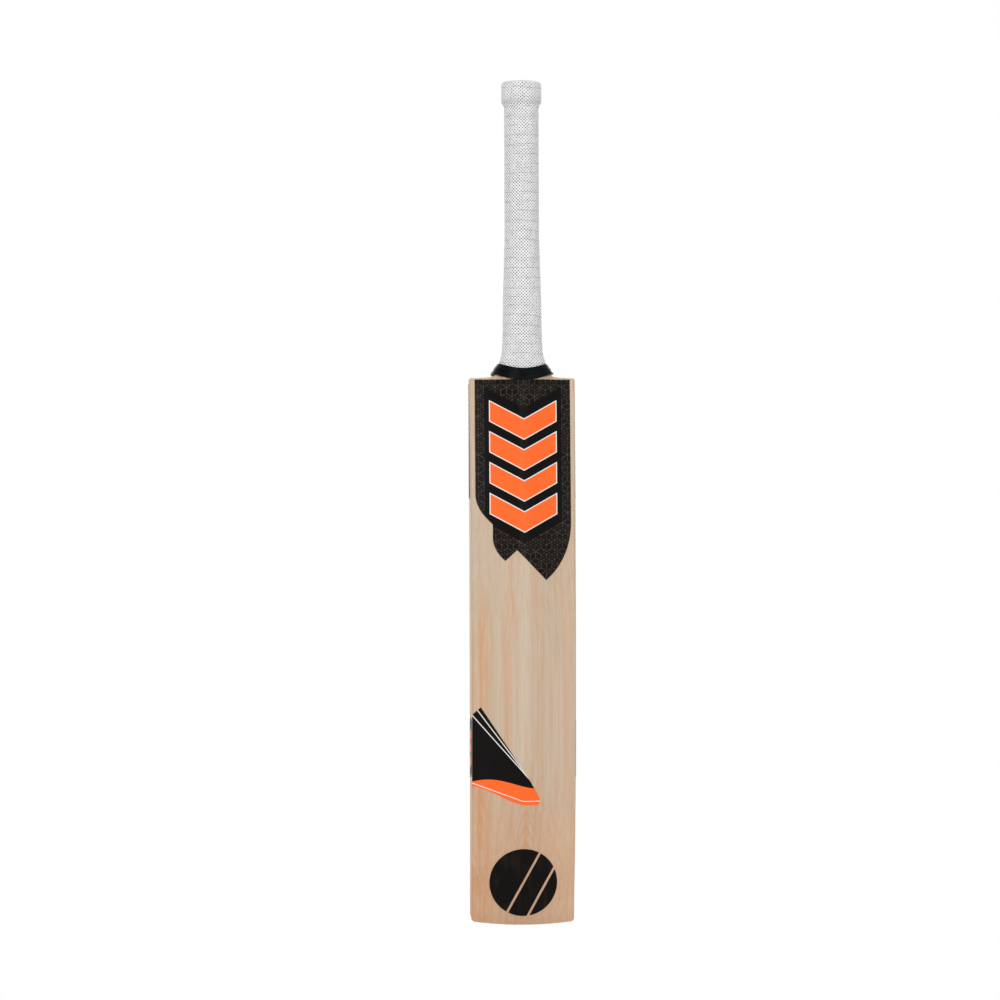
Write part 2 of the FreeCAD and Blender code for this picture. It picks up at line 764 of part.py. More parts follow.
def toe_films():
    """A plain disc on the back of the toe, in three slices of growing width."""
    radius, bare = size("toe_film_radius"), size("toe_film_gap")
    start = -radius
    for name, share in (("small", 0.2), ("middle", 0.28), ("large", 0.52)):
        end = min(start + share * 2 * (radius - bare), radius)
        back_film("toe_film_" + name, toe_film_outline(start, end))
        start = end + bare


face_film("face_shield", face_shield_outline())
face_film("face_label", label_outline())
back_film("back_shield", back_shield_outline())
back_film("back_flash", flash_outline())
toe_films()

edge_films("upper_edge_film", outline_of(
    (face_line + 3.6, shoulder - 6.0), (face_line + 10.8, shoulder - 6.0),
    (face_line + 26.6, shoulder - 121.0),
    ("bend", face_line + 21.0, shoulder - 125.0), ("bend", face_line + 14.0, shoulder - 115.0),
    (face_line + 6.6, shoulder - 120.0)))
edge_films("lower_edge_film", outline_of(
    (face_line + 13.2, 147.5), (face_line + 13.2, 202.5),
    ("bend", face_line + 22.0, 209.5), ("bend", face_line + 33.0, 209.5), (face_line + 42.8, 205.5),
    (face_line + 42.8, 149.0),
    ("bend", face_line + 33.0, 154.0), ("bend", face_line + 22.0, 154.0)))

# ---------------------------------------------------------------- write


def check_and_write():
    doc.recompute()
    for thing in doc.Objects:
        if "Invalid" in thing.State or "Error" in thing.State:
            raise RuntimeError(f"{thing.Name} failed: {thing.State}")
    for node, thing in parts.items():
        shape = thing.Shape
        if shape.isNull() or not shape.isValid() or not shape.Solids:
            raise RuntimeError(f"{node} has no valid solid")
        thing.Label = node
        print(node, len(shape.Solids), round(shape.Volume, 1))
        shape.exportStep(f"parts/{node}.step")


check_and_write()
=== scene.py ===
"""Cricket bat: materials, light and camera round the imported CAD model.

Lengths are in metres. The bat stands upright on its toe: x runs to the right as its face is seen,
y from the face to the back, and z up.
"""

import json
import math

import bpy
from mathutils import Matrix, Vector

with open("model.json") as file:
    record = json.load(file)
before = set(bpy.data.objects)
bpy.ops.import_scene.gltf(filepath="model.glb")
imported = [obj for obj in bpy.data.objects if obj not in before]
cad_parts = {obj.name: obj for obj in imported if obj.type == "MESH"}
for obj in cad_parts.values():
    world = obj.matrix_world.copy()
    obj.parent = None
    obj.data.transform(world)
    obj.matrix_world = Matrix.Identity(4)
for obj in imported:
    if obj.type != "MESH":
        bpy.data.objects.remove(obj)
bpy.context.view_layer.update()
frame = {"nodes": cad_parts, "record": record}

nodes = frame["nodes"]
mounts = {mount["name"]: mount for mount in frame["record"]["mounts"]}
HANDLE_AXIS = Vector(mounts["handle_top"]["axis"]).normalized()
HANDLE_POINT = Vector(mounts["handle_top"]["pos_m"])
MM = 0.001


# ---------------------------------------------------------------- shader graphs


class Graph:
    """Short calls for building one material's nodes. Values are numbers or sockets."""

    def __init__(self, name):
        self.material = bpy.data.materials.new(name)
        self.material.use_nodes = True
        self.tree = self.material.node_tree
        self.shader = self.tree.nodes["Principled BSDF"]

    def node(self, kind, **settings):
        made = self.tree.nodes.new(kind)
        for key, value in settings.items():
            setattr(made, key, value)
        return made

    def put(self, socket, value):
        if isinstance(value, bpy.types.NodeSocket):
            self.tree.links.new(value, socket)
        elif isinstance(value, (tuple, list)) and len(value) == 3 and socket.type == "RGBA":
            socket.default_value = (*value, 1.0)
        else:
            socket.default_value = value

    def math(self, operation, *values):
        made = self.node("ShaderNodeMath", operation=operation)
        for socket, value in zip(made.inputs, values):
            self.put(socket, value)
        return made.outputs[0]

    def add(self, a, b):
        return self.math("ADD", a, b)

    def subtract(self, a, b):
        return self.math("SUBTRACT", a, b)

    def times(self, a, b):
        return self.math("MULTIPLY", a, b)

    def absolute(self, value):
        return self.math("ABSOLUTE", value)

    def repeat(self, value, length=1.0):
        """How far value lies into its own stretch of the given length."""
        return self.math("FLOORED_MODULO", value, length)

    def wander(self, noise, width):
        """A noise value as a shift centred on 0, width across."""
        return self.times(self.subtract(noise, 0.5), width)

    def biggest(self, first, *others):
        for other in others:
            first = self.math("MAXIMUM", first, other)
        return first

    def place(self):
        """The point on the object, in the bat's own frame, as a vector."""
        return self.node("ShaderNodeTexCoord").outputs["Object"]

    def position(self):
        """The same point as three sockets."""
        split = self.node("ShaderNodeSeparateXYZ")
        self.put(split.inputs[0], self.place())
        return split.outputs[0], split.outputs[1], split.outputs[2]

    def vector(self, x, y, z):
        joined = self.node("ShaderNodeCombineXYZ")
        for socket, value in zip(joined.inputs, (x, y, z)):
            self.put(socket, value)
        return joined.outputs[0]

    def noise(self, place, scale=1.0, detail=2.0, roughness=0.5):
        made = self.node("ShaderNodeTexNoise")
        self.put(made.inputs["Vector"], place)
        for name, value in (("Scale", scale), ("Detail", detail), ("Roughness", roughness)):
            made.inputs[name].default_value = value
        return made.outputs["Fac"]

    def ramp(self, value, low, high, to_low=0.0, to_high=1.0, smooth=True):
        """Maps low..high onto to_low..to_high and holds the ends. low may be above high."""
        made = self.node("ShaderNodeMapRange",
                         interpolation_type="SMOOTHSTEP" if smooth else "LINEAR")
        for name, number in (("Value", value), ("From Min", low), ("From Max", high),
                             ("To Min", to_low), ("To Max", to_high)):
            self.put(made.inputs[name], number)
        return made.outputs[0]

    def mix(self, share, first, second):
        made = self.node("ShaderNodeMix", data_type="RGBA")
        self.put(made.inputs[0], share)
        self.put(made.inputs[6], first)
        self.put(made.inputs[7], second)
        return made.outputs[2]

    def bump(self, height, strength, distance):
        made = self.node("ShaderNodeBump")
        made.inputs["Strength"].default_value = strength
        made.inputs["Distance"].default_value = distance
        self.put(made.inputs["Height"], height)
        return made.outputs[0]

    def finish(self, color, roughness, normal=None, **constants):
        self.put(self.shader.inputs["Base Color"], color)
        self.put(self.shader.inputs["Roughness"], roughness)
        if normal is not None:
            self.put(self.shader.inputs["Normal"], normal)
        for name, value in constants.items():
            self.shader.inputs[name.replace("_", " ")].default_value = value
        return self.material


# ---------------------------------------------------------------- willow

RING_WIDTH = 8.2 * MM  # from one growth ring to the next, across the blade
ARCH_HEIGHT = 16.5 * MM  # from one arch of the flames to the next, up the blade
ARCH_DROP = 300.0  # how steeply an arch drops to its sides, per metre
SPINE_X = 0.5 * MM  # the middle of the flames
RING_LEAN = 0.32  # sideways shift of a ring for each metre through the blade

FACE_CREAM = ((0.585, 0.405, 0.265), (0.640, 0.470, 0.330))
BACK_CREAM = ((0.505, 0.398, 0.292), (0.540, 0.440, 0.337))
HEARTWOOD = ((0.560, 0.300, 0.140), (0.610, 0.375, 0.205))
BLUSH = (0.572, 0.372, 0.250)
TOE_WARMTH = (0.585, 0.345, 0.208)
EDGE_WARMTH = (0.560, 0.280, 0.130)
STREAK = (0.560, 0.315, 0.170)
DARK_LINE = (0.500, 0.315, 0.200)
PALE_LINE = (0.610, 0.500, 0.390)
LATE_WOOD = (0.470, 0.275, 0.150)
ARCH_LINE = (0.480, 0.270, 0.145)
PITH = (0.560, 0.270, 0.130)
FIBRE = (0.420, 0.300, 0.205)
PORE = (0.360, 0.240, 0.150)


def willow():
    graph = Graph("willow")
    x, y, z = graph.position()

    def along(across, up, detail=2.0, shift=0.0):
        """Noise drawn out along the grain: across and up are its cells per metre."""
        return graph.noise(graph.vector(graph.add(graph.times(x, across), shift),
                                        graph.times(y, across), graph.times(z, up)), detail=detail)

    sway = along(14.0, 1.6)
    swirl = along(38.0, 5.5)
    cloud = along(22.0, 2.2)
    broad = along(95.0, 1.5, detail=3.0)
    strand = along(330.0, 3.4, detail=3.0)
    fibre = along(2400.0, 26.0, detail=3.0)
    pore = along(1500.0, 95.0, detail=1.0)
    line = along(640.0, 2.4, detail=1.0, shift=3.0)
    fading = along(60.0, 9.0, shift=7.0)

    # Growth rings run up the blade as uneven lines, each darkest where it ends
    bent = graph.add(graph.add(x, graph.times(y, RING_LEAN)), graph.wander(sway, 12.0 * MM))
    bent = graph.add(bent, graph.wander(swirl, 6.0 * MM))
    ring = graph.repeat(graph.times(bent, 1 / RING_WIDTH))
    late = graph.times(graph.ramp(ring, 0.45, 0.96), graph.ramp(ring, 0.96, 1.0, 1.0, 0.0))
    late = graph.times(late, graph.ramp(fading, 0.36, 0.62, 0.15, 1.0))

    # Flames: where the spine thins out above the toe, the rings show as nested arches
    off_spine = graph.add(graph.subtract(x, SPINE_X), graph.wander(swirl, 10.0 * MM))
    arch = graph.add(z, graph.times(graph.times(off_spine, off_spine), ARCH_DROP))
    arch = graph.add(arch, graph.times(sway, 30.0 * MM))
    arch = graph.repeat(graph.times(arch, 1 / ARCH_HEIGHT))
    from_spine = graph.absolute(off_spine)
    flame = graph.times(graph.ramp(from_spine, 0.011, 0.024, 1.0, 0.0),
                        graph.ramp(z, 0.150, 0.115))
    flame = graph.times(flame, graph.ramp(y, 0.000, 0.006))
    arch = graph.times(graph.ramp(arch, 0.30, 0.93), graph.ramp(arch, 1.0, 0.93))
    arch = graph.times(arch, flame)
    pith = graph.times(graph.ramp(from_spine, 0.0032, 0.0006), flame)

    # Heartwood: a warm band on the right of the face, which fades towards the back and the neck
    heart = graph.ramp(graph.add(x, graph.wander(sway, 30.0 * MM)), 0.000, 0.020)
    depth = graph.ramp(y, -0.026, 0.004, 1.0, 0.06)
    towards_toe = graph.ramp(z, 0.05, 0.36, 1.0, 0.62)
    heart = graph.times(graph.times(heart, depth), towards_toe)

    # Warm stripes along the lower part of the right-hand edge, and thinner streaks all over
    edge = graph.times(graph.ramp(x, 0.026, 0.046), graph.ramp(broad, 0.36, 0.56, 0.25, 1.0))
    edge = graph.times(edge, graph.ramp(z, 0.36, 0.29))
    streak = graph.times(graph.ramp(strand, 0.54, 0.72), graph.ramp(cloud, 0.40, 0.60))

    # The back is greyer than the face. Both blush in soft stripes and warm up near the toe
    clouded = graph.ramp(cloud, 0.30, 0.70)
    face = graph.mix(clouded, *FACE_CREAM)
    back = graph.mix(clouded, *BACK_CREAM)
    color = graph.mix(graph.ramp(y, -0.022, 0.000), face, back)
    warm = graph.mix(graph.ramp(strand, 0.35, 0.68), *HEARTWOOD)
    for share, tint in (
        (graph.ramp(broad, 0.44, 0.64, 0.0, 0.70), BLUSH),
        (graph.ramp(z, 0.045, 0.190, 0.72, 0.0), TOE_WARMTH),
        (graph.times(heart, 0.85), warm),
        (graph.times(edge, 0.95), EDGE_WARMTH),
        (graph.times(streak, 0.50), STREAK),
        (graph.ramp(line, 0.52, 0.72, 0.0, 0.34), DARK_LINE),
        (graph.ramp(line, 0.46, 0.30, 0.0, 0.30), PALE_LINE),
        (graph.times(late, 0.32), LATE_WOOD),
        (graph.times(arch, 0.42), ARCH_LINE),
        (graph.times(pith, 0.50), PITH),
        (graph.ramp(fibre, 0.44, 0.74, 0.0, 0.20), FIBRE),
        (graph.ramp(pore, 0.64, 0.76, 0.0, 0.22), PORE),
    ):
        color = graph.mix(share, color, tint)

    relief = graph.add(graph.times(fibre, 0.6), graph.times(late, 0.5))
    roughness = graph.ramp(strand, 0.3, 0.7, 0.46, 0.58)
    return graph.finish(color, roughness, graph.bump(relief, 0.22, 0.16 * MM),
                        Specular_IOR_Level=0.22)


# ---------------------------------------------------------------- inside the handle

VESSELS_PER_METRE = 900.0
TWINE_TURNS_PER_METRE = 1000.0


def cane():
    """Bundles along the stick, and its vessels as dark dots on the cut ends."""
    graph = Graph("cane")
    x, y, z = graph.position()
    bundles = graph.noise(graph.vector(graph.times(x, 900.0), graph.times(y, 900.0),
                                       graph.times(z, 12.0)))
    vessels = graph.node("ShaderNodeTexVoronoi", feature="F1")
    graph.put(vessels.inputs["Vector"], graph.vector(x, y, graph.times(z, 0.02)))
    vessels.inputs["Scale"].default_value = VESSELS_PER_METRE
    dots = graph.ramp(vessels.outputs["Distance"], 0.10, 0.32, 1.0, 0.0)
    color = graph.mix(graph.ramp(bundles, 0.35, 0.70), (0.60, 0.38, 0.17), (0.78, 0.57, 0.32))
    color = graph.mix(graph.times(dots, 0.65), color, (0.22, 0.11, 0.045))
    return graph.finish(color, 0.58, graph.bump(dots, 0.4, 0.3 * MM))


def spring_rubber():
    graph = Graph("spring_rubber")
    grit = graph.noise(graph.place(), scale=1400.0, detail=3.0)
    color = graph.mix(grit, (0.012, 0.012, 0.013), (0.035, 0.033, 0.032))
    roughness = graph.ramp(grit, 0.3, 0.7, 0.60, 0.78)
    return graph.finish(color, roughness, graph.bump(grit, 0.3, 0.1 * MM))


def twine():
    graph = Graph("twine")
    z = graph.position()[2]
    turn = graph.repeat(graph.times(z, TWINE_TURNS_PER_METRE))
    round_turn = graph.math("SINE", graph.times(turn, math.pi))
    ply = graph.noise(graph.place(), scale=900.0)
    # Painted shade: each turn is light on its crest and darkens towards the gaps between turns; the
    # ply noise varies the twine's own colour
    color = graph.mix(graph.times(round_turn, ply), (0.26, 0.19, 0.10), (0.74, 0.63, 0.43))
    return graph.finish(color, 0.72, graph.bump(round_turn, 0.8, 0.4 * MM))


# ---------------------------------------------------------------- grip and tape

DIMPLES_ROUND = 34
DIMPLE_ROW = 1.62 * MM
WRAP_PITCH = 9.6 * MM  # from one groove round the sleeve to the next

GRIP_WHITE = ((0.715, 0.715, 0.718), (0.785, 0.785, 0.785))
DIMPLE_GREY = (0.060, 0.062, 0.072)
GROOVE_GREY = (0.200, 0.202, 0.220)
CUFF_SHADOW_GREY = (0.30, 0.285, 0.29)
TAPE_BLACK_AND_SHEEN = ((0.0008, 0.0012, 0.0016), (0.0034, 0.0054, 0.0068))


def along_handle(graph):
    """Level up the handle's axis from its top mount, turn round the axis and distance from it."""
    x, y, z = graph.position()
    low = graph.subtract(y, HANDLE_POINT.y)
    high = graph.subtract(z, HANDLE_POINT.z)
    level = graph.add(graph.times(low, HANDLE_AXIS.y), graph.times(high, HANDLE_AXIS.z))
    across = graph.subtract(graph.times(low, HANDLE_AXIS.z), graph.times(high, HANDLE_AXIS.y))
    turn = graph.times(graph.math("ARCTAN2", x, across), 1 / math.tau)
    radius = graph.math("SQRT", graph.add(graph.times(x, x), graph.times(across, across)))
    return level, turn, radius


def dimples(graph, level, turn, radius):
    """1 in staggered round dimples and 0 between them. Some of them are fainter."""
    row = graph.times(level, 1 / DIMPLE_ROW)
    odd = graph.repeat(graph.math("FLOOR", row), 2.0)
    column = graph.add(graph.times(turn, DIMPLES_ROUND), graph.times(odd, 0.5))
    width = graph.times(radius, math.tau / DIMPLES_ROUND)
    sideways = graph.times(graph.subtract(graph.repeat(column), 0.5), width)
    upward = graph.times(graph.subtract(graph.repeat(row), 0.5), DIMPLE_ROW)
    reach = graph.math("SQRT", graph.add(graph.times(sideways, sideways),
                                         graph.times(upward, upward)))
    dimple = graph.ramp(reach, 0.38 * MM, 0.94 * MM, 1.0, 0.0)
    uneven = graph.noise(graph.place(), scale=420.0, detail=1.0)
    return graph.times(dimple, graph.ramp(uneven, 0.30, 0.62, 0.55, 1.0))


def grooves(graph, level, drift):
    """1 in thin grooves round the sleeve, broken here and there."""
    wrap = graph.add(graph.times(level, 1 / WRAP_PITCH), graph.wander(drift, 0.5))
    in_wrap = graph.absolute(graph.subtract(graph.repeat(wrap), 0.5))
    groove = graph.ramp(graph.times(in_wrap, WRAP_PITCH), 0.15 * MM, 0.55 * MM, 1.0, 0.0)
    broken = graph.noise(graph.place(), scale=60.0)
    return graph.times(groove, graph.ramp(broken, 0.40, 0.58, 0.25, 1.0))


def grip_rubber():
    graph = Graph("grip_rubber")
    place = graph.place()
    level, turn, radius = along_handle(graph)
    drift = graph.noise(place, scale=26.0)
    level = graph.add(level, graph.wander(drift, 1.6 * MM))

    # The sides are patterned, and the flat end at the top of the handle is smooth
    sides = graph.ramp(level, 9.0 * MM, 11.0 * MM, 1.0, 0.0)
    dimple = graph.times(dimples(graph, level, turn, radius), sides)
    groove = graph.times(grooves(graph, level, drift), sides)

    dirt = graph.noise(place, scale=110.0, detail=3.0)
    # Painted shadow: a grey band round the sleeve just below the cuff, where the cuff's rolled rim
    # shades it
    cuff_shadow = graph.times(graph.ramp(level, -13.5 * MM, -10.5 * MM),
                             graph.ramp(level, -5.5 * MM, -8.5 * MM))
    color = graph.mix(graph.ramp(dirt, 0.35, 0.70), *GRIP_WHITE)
    color = graph.mix(graph.times(dimple, 0.96), color, DIMPLE_GREY)
    color = graph.mix(graph.times(groove, 0.42), color, GROOVE_GREY)
    color = graph.mix(graph.times(cuff_shadow, 0.30), color, CUFF_SHADOW_GREY)
    height = graph.subtract(1.0, graph.biggest(dimple, groove))
    return graph.finish(color, graph.ramp(dirt, 0.3, 0.7, 0.56, 0.68),
                        graph.bump(height, 0.55, 0.5 * MM), Specular_IOR_Level=0.22)


def tape():
    """Black tape, creased round the neck where it was pulled tight. Its black varies in tone and
    turns lighter and bluer along the creases, a painted sheen.
    """
    graph = Graph("tape")
    level, turn, radius = along_handle(graph)
    crease = graph.noise(graph.vector(graph.times(turn, 16.0), graph.times(radius, 60.0),
                                      graph.times(level, 620.0)), detail=3.0, roughness=0.55)
    wave = graph.noise(graph.vector(graph.times(turn, 7.0), 0.0, graph.times(level, 190.0)))
    # Partly painted sheen: the black shifts towards a lighter, bluer black along the creases
    color = graph.mix(graph.ramp(crease, 0.35, 0.75), *TAPE_BLACK_AND_SHEEN)
    relief = graph.add(graph.times(crease, 0.5), wave)
    return graph.finish(color, graph.ramp(crease, 0.3, 0.7, 0.20, 0.34),
                        graph.bump(relief, 0.70, 1.2 * MM), Specular_IOR_Level=0.045)


# ---------------------------------------------------------------- printed films

ORANGE = (0.94, 0.142, 0.028)
PRINT_WHITE = (0.78, 0.75, 0.71)
PRINT_BLACK = (0.0034, 0.0028, 0.0026)
THIN_BLACK = tuple(1.7 * part for part in PRINT_BLACK)
HONEYCOMB_GREY = (0.104, 0.084, 0.070)
FINE_BROWN = (0.110, 0.080, 0.056)
WORN_BROWN = (0.022, 0.012, 0.008)

INK_EDGE = 0.12 * MM  # half the width over which a print's rim fades
CHEVRON_SLOPE = 0.55  # rise over run
FACE_SHIELD_FOOT = 0.3800  # the level at which the chevrons start
BACK_SHIELD_FOOT = 0.3890


def honeycomb(graph, x, z, pitch):
    """A faint line drawing of hexagons with three spokes each, 1 on a line and 0 off it."""
    wide, tall = 1.0, math.sqrt(3.0)
    half_tall = 0.866
    spoke_core, spoke_rim = 0.014, 0.034
    u, v = graph.times(x, 1 / pitch), graph.times(z, 1 / pitch)

    def cell(shift_u, shift_v):
        in_u = graph.subtract(graph.repeat(graph.add(u, shift_u), wide), wide / 2)
        in_v = graph.subtract(graph.repeat(graph.add(v, shift_v), tall), tall / 2)
        return in_u, in_v, graph.add(graph.times(in_u, in_u), graph.times(in_v, in_v))

    first_u, first_v, first_reach = cell(0.0, 0.0)
    second_u, second_v, second_reach = cell(wide / 2, tall / 2)
    nearer = graph.math("LESS_THAN", first_reach, second_reach)

    def chosen(first, second):
        return graph.add(second, graph.times(nearer, graph.subtract(first, second)))

    off_u = graph.absolute(chosen(first_u, second_u))
    off_v = chosen(first_v, second_v)

    def slanted(rise):
        return graph.add(graph.times(off_u, 0.5), graph.times(rise, half_tall))

    def spoke(distance):
        return graph.ramp(distance, spoke_core, spoke_rim, 1.0, 0.0)

    rim = graph.ramp(graph.biggest(off_u, slanted(graph.absolute(off_v))), 0.462, 0.485)
    upper = graph.times(spoke(off_u), graph.math("GREATER_THAN", off_v, 0.0))
    lower = graph.times(spoke(graph.absolute(slanted(off_v))),
                        graph.math("LESS_THAN", off_v, 0.0))
    return graph.biggest(rim, upper, lower)


def chevrons(graph, x, z, half_width, foot, count, pitch, thickness):
    """Distance outside a stack of broad chevrons that point to the toe, below 0 inside them."""
    steep = math.cos(math.atan(CHEVRON_SLOPE))
    half_stack = count * pitch / 2
    rise = graph.subtract(z, graph.times(graph.absolute(x), CHEVRON_SLOPE))
    from_foot = graph.subtract(rise, foot)
    in_pitch = graph.subtract(graph.repeat(from_foot, pitch), pitch / 2)
    band = graph.subtract(graph.absolute(in_pitch), thickness / 2)
    stack = graph.subtract(graph.absolute(graph.subtract(from_foot, half_stack)), half_stack)
    sides = graph.subtract(graph.absolute(x), half_width)
    return graph.biggest(graph.times(band, steep), graph.times(stack, steep), sides)


def film(name, layers):
    """A satin black film. layers(graph, x, y, z) yields each print's share and colour, in order."""
    graph = Graph(name)
    place = graph.place()
    x, y, z = graph.position()
    cloud = graph.noise(place, scale=55.0)
    color = graph.mix(cloud, PRINT_BLACK, THIN_BLACK)
    for share, ink in layers(graph, x, y, z):
        color = graph.mix(share, color, ink)
    ripple = graph.noise(graph.vector(graph.times(x, 55.0), graph.times(y, 55.0),
                                      graph.times(z, 14.0)))
    peel = graph.noise(place, scale=900.0, detail=1.0)
    relief = graph.add(ripple, graph.times(peel, 0.03))
    return graph.finish(color, graph.ramp(cloud, 0.3, 0.7, 0.36, 0.46),
                        graph.bump(relief, 0.15, 1.2 * MM), Specular_IOR_Level=0.06)


def inked(graph, distance):
    """1 inside a shape whose distance is below 0, with a crisp rim."""
    return graph.ramp(distance, -INK_EDGE, INK_EDGE, 1.0, 0.0, smooth=False)


def shield_print(foot):
    """A worn honeycomb under orange chevrons with a white outline and a bare black surround."""
    surround, outline = 5.0 * MM, 0.95 * MM

    def layers(graph, x, y, z):
        worn = graph.noise(graph.vector(graph.times(x, 85.0), 0.0, graph.times(z, 85.0)),
                           detail=3.0)
        speck = graph.noise(graph.vector(graph.times(x, 520.0), 0.0, graph.times(z, 520.0)),
                            detail=1.0)
        broken = graph.times(graph.ramp(worn, 0.40, 0.58, 0.10, 1.0),
                             graph.ramp(speck, 0.38, 0.60, 0.25, 1.0))
        coarse = graph.times(honeycomb(graph, x, z, 11.2 * MM), broken)
        yield graph.times(coarse, 0.80), HONEYCOMB_GREY
        fine = graph.times(honeycomb(graph, x, z, 5.6 * MM),
                           graph.ramp(worn, 0.58, 0.44, 0.15, 1.0))
        fine = graph.times(fine, graph.ramp(speck, 0.62, 0.42, 0.2, 1.0))
        yield graph.times(fine, 0.80), FINE_BROWN
        shape = chevrons(graph, x, z, half_width=34.0 * MM, foot=foot, count=4,
                         pitch=31.0 * MM, thickness=21.5 * MM)
        yield inked(graph, graph.subtract(shape, surround)), PRINT_BLACK
        yield inked(graph, shape), PRINT_WHITE
        yield inked(graph, graph.add(shape, outline)), ORANGE
    return layers


def beside_line(graph, x, z, start, end):
    """Distance to the left of the line from start to end, which are given in x and z."""
    run, rise = end[0] - start[0], end[1] - start[1]
    length = math.hypot(run, rise)
    normal = (-rise / length, run / length)
    level = normal[0] * start[0] + normal[1] * start[1]
    return graph.subtract(graph.add(graph.times(x, normal[0]), graph.times(z, normal[1])), level)


def flash_print(graph, x, y, z):
    """Two white lines that run together down the slant, over an orange band with a white line."""
    lines_meet = (-0.0055, 0.1462)
    line_tops = ((0.0435, 0.2117), (0.0475, 0.2060))
    for top in line_tops:
        off_line = graph.absolute(beside_line(graph, x, z, top, lines_meet))
        line = graph.biggest(graph.subtract(off_line, 0.45 * MM),
                             graph.subtract(lines_meet[1], z))
        yield inked(graph, line), PRINT_WHITE

    # The band's top edge is a shallow wave
    wave_level, wave_start, wave_turn, wave_height = 0.1425, 0.010, 62.0, 4.4 * MM
    wave = graph.math("SINE", graph.times(graph.subtract(x, wave_start), wave_turn))
    band_top = graph.add(wave_level, graph.times(wave, wave_height))
    yield inked(graph, graph.subtract(z, band_top)), ORANGE

    # The white line near its foot is level at low x and then climbs
    level_part, slant_x, slant_level, climb = 0.1255, 0.004, 0.1262, 0.354
    slant = graph.add(slant_level, graph.times(graph.subtract(x, slant_x), climb))
    off_line = graph.absolute(graph.subtract(z, graph.biggest(slant, level_part)))
    yield inked(graph, graph.subtract(off_line, 0.40 * MM)), PRINT_WHITE


def toe_print(graph, x, y, z):
    """No print, only a faint brown cast where the black is thin."""
    thin = graph.noise(graph.vector(graph.times(x, 120.0), 0.0, graph.times(z, 40.0)))
    yield graph.ramp(thin, 0.45, 0.75, 0.0, 0.6), WORN_BROWN


def upper_edge_print(graph, x, y, z):
    """A row of slashes down the middle of the film: white above, orange below."""
    film_top, middle_at_top, middle_lean = 0.543, -0.0192, 0.082
    pitch, slant, half_bar, half_row = 5.6 * MM, 0.7, 1.5 * MM, 2.6 * MM
    middle = graph.add(middle_at_top, graph.times(graph.subtract(film_top, z), middle_lean))
    off_middle = graph.subtract(graph.absolute(graph.subtract(y, middle)), half_row)
    in_pitch = graph.subtract(graph.repeat(graph.add(z, graph.times(y, slant)), pitch), pitch / 2)
    row = graph.biggest(graph.subtract(graph.absolute(in_pitch), half_bar), off_middle)
    for low, high, ink in ((0.4860, 0.5390, PRINT_WHITE), (0.4400, 0.4780, ORANGE)):
        part = graph.biggest(row, graph.subtract(z, high), graph.subtract(low, z))
        yield inked(graph, part), ink


def lower_edge_print(graph, x, y, z):
    """Three orange chevrons with a white outline, pointing to the toe."""
    middle_y, middle_z = 0.0025, 0.1775
    half_width, half_band, outline = 9.5 * MM, 4.3 * MM, 0.7 * MM
    foot, pitch, count = -22.0 * MM, 13.0 * MM, 3
    half_stack = count * pitch / 2
    across = graph.absolute(graph.subtract(y, middle_y))
    rise = graph.subtract(graph.subtract(z, middle_z), graph.times(across, CHEVRON_SLOPE))
    from_foot = graph.subtract(rise, foot)
    in_pitch = graph.subtract(graph.repeat(from_foot, pitch), pitch / 2)
    band = graph.subtract(graph.absolute(in_pitch), half_band)
    stack = graph.subtract(graph.absolute(graph.subtract(from_foot, half_stack)), half_stack)
    shape = graph.biggest(band, stack, graph.subtract(across, half_width))
    yield inked(graph, shape), PRINT_WHITE
    yield inked(graph, graph.add(shape, outline)), ORANGE


def clear_film(wood):
    """The willow again, under a satin clear coat."""
    copy = wood.copy()
    copy.name = "clear_film"
    shader = copy.node_tree.nodes["Principled BSDF"]
    shader.inputs["Coat Weight"].default_value = 0.5
    shader.inputs["Coat Roughness"].default_value = 0.14
    return copy


# ---------------------------------------------------------------- dressing the CAD nodes


def dress():
    """Gives every slot of every CAD node its material, by the start of the node's name."""
    wood = willow()
    looks = (
        ("blade", wood),
        ("face_label", clear_film(wood)),
        ("face_shield", film("face_shield_print", shield_print(FACE_SHIELD_FOOT))),
        ("back_shield", film("back_shield_print", shield_print(BACK_SHIELD_FOOT))),
        ("back_flash", film("back_flash_print", flash_print)),
        ("upper_edge_film", film("upper_edge_print", upper_edge_print)),
        ("lower_edge_film", film("lower_edge_print", lower_edge_print)),
        ("toe_film", film("toe_print", toe_print)),
        ("rubber_grip", grip_rubber()),
        ("handle_tape", tape()),
        ("twine_binding", twine()),
        ("cane", cane()),
        ("rubber_spring", spring_rubber()),
    )
    for name, thing in nodes.items():
        look = next(material for start, material in looks if name.startswith(start))
        for slot in thing.material_slots:
            slot.material = look


dress()

# ---------------------------------------------------------------- stage, light, camera

FLOOR_GREY = (0.82, 0.82, 0.82)
FLOOR_ROUGHNESS = 0.85
FLOOR_SIZE = 30.0
WHITE = (1.0, 1.0, 1.0, 1.0)
WORLD_LIGHT = 0.66
BAT_MIDDLE = Vector((0.0, 0.0, 0.45))
KEY = {"elevation": 22.0, "distance": 2.6, "size": (1.2, 1.8), "power": 22.5}
FILL = {"elevation": 12.0, "distance": 3.0, "size": (1.6, 1.8), "power": 17.5}

CAMERA_AZIMUTH = 176.5  # degrees round the bat: its back, turned a little to show the right edge
CAMERA_DISTANCE = 6.0
PICTURE_WIDTH = 1.0047  # across the picture at the bat
PICTURE_CENTRE = (-0.0228, 0.4265)  # middle of the picture beside and above the bat's foot
SENSOR_MM = 36.0


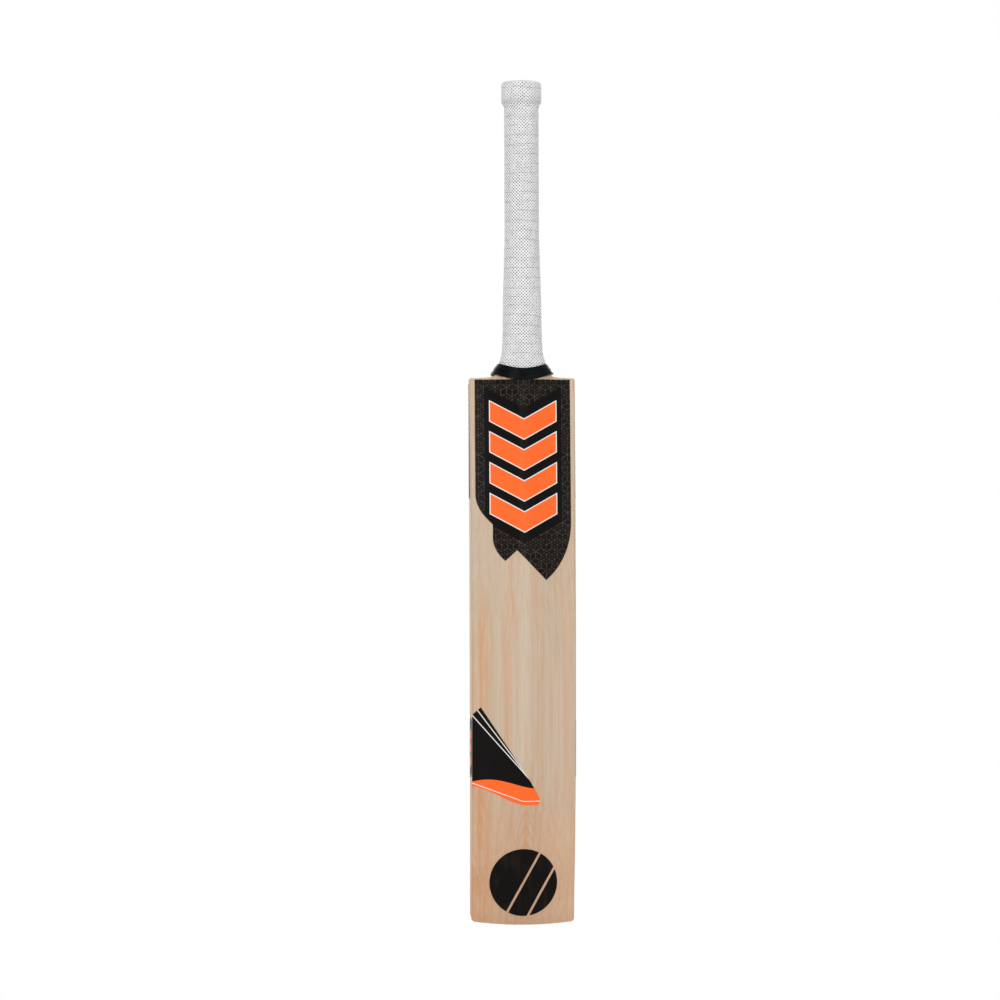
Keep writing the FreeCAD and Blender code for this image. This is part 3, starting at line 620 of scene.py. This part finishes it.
def facing_bat(name, data, azimuth, elevation=0.0, distance=0.0, target=(0.0, 0.0, 0.0)):
    """An object aimed at target, azimuth degrees round the bat from its face."""
    turn, tilt = math.radians(azimuth), math.radians(elevation)
    way = Vector((math.sin(turn) * math.cos(tilt), -math.cos(turn) * math.cos(tilt),
                  math.sin(tilt)))
    made = bpy.data.objects.new(name, data)
    made.location = Vector(target) + way * distance
    made.rotation_mode = "QUATERNION"
    made.rotation_quaternion = (-way).to_track_quat("-Z", "Y")
    bpy.context.scene.collection.objects.link(made)
    return made


def show_background(tree, material, background, output):
    """Shows background to the camera, in reflections and through glass, material to the rest."""
    path = tree.nodes.new("ShaderNodeLightPath")
    seen = path.outputs["Is Camera Ray"]
    for ray in ("Is Glossy Ray", "Is Transmission Ray"):
        either = tree.nodes.new("ShaderNodeMath")
        either.operation = "MAXIMUM"
        tree.links.new(seen, either.inputs[0])
        tree.links.new(path.outputs[ray], either.inputs[1])
        seen = either.outputs[0]
    blend = tree.nodes.new("ShaderNodeMixShader")
    for source, socket in zip((seen, material, background), blend.inputs):
        tree.links.new(source, socket)
    tree.links.new(blend.outputs[0], tree.nodes[output].inputs[0])


def make_floor():
    """Grey paint that looks as white as the background."""
    graph = Graph("floor_paint")
    graph.finish(FLOOR_GREY, FLOOR_ROUGHNESS)
    white = graph.node("ShaderNodeEmission")
    white.inputs[0].default_value = WHITE
    white.inputs[1].default_value = 1.0
    show_background(graph.tree, graph.shader.outputs[0], white.outputs[0], "Material Output")
    bpy.ops.mesh.primitive_plane_add(size=FLOOR_SIZE, location=(0, 0, 0))
    floor = bpy.context.object
    floor.name = "floor"
    floor.data.materials.append(graph.material)


def make_world():
    world = bpy.data.worlds.new("studio")
    bpy.context.scene.world = world
    world.use_nodes = True
    tree = world.node_tree
    soft = tree.nodes["Background"]
    white = tree.nodes.new("ShaderNodeBackground")
    for shader, strength in ((soft, WORLD_LIGHT), (white, 1.0)):
        shader.inputs[0].default_value = WHITE
        shader.inputs[1].default_value = strength
    show_background(tree, soft.outputs[0], white.outputs[0], "World Output")


def softbox(name, azimuth, elevation, distance, size, power):
    """An area light aimed at the middle of the bat."""
    light = bpy.data.lights.new(name, "AREA")
    light.shape = "RECTANGLE"
    light.size, light.size_y = size
    light.energy = power
    facing_bat(name, light, azimuth, elevation, distance, BAT_MIDDLE)


def make_lights():
    softbox("back_key", 158.0, **KEY)
    softbox("back_fill", 204.0, **FILL)
    softbox("face_key", -24.0, **KEY)
    softbox("face_fill", 34.0, **FILL)


def make_camera():
    data = bpy.data.cameras.new("camera")
    data.sensor_width = SENSOR_MM
    data.lens = SENSOR_MM * CAMERA_DISTANCE / PICTURE_WIDTH
    data.clip_start, data.clip_end = 0.1, 60.0
    turn = math.radians(CAMERA_AZIMUTH)
    right = Vector((math.cos(turn), math.sin(turn), 0.0))
    target = right * PICTURE_CENTRE[0] + Vector((0.0, 0.0, PICTURE_CENTRE[1]))
    bpy.context.scene.camera = facing_bat("camera", data, CAMERA_AZIMUTH,
                                          distance=CAMERA_DISTANCE, target=target)


make_floor()
make_world()
make_lights()
make_camera()
bpy.context.scene.view_settings.view_transform = "Standard"
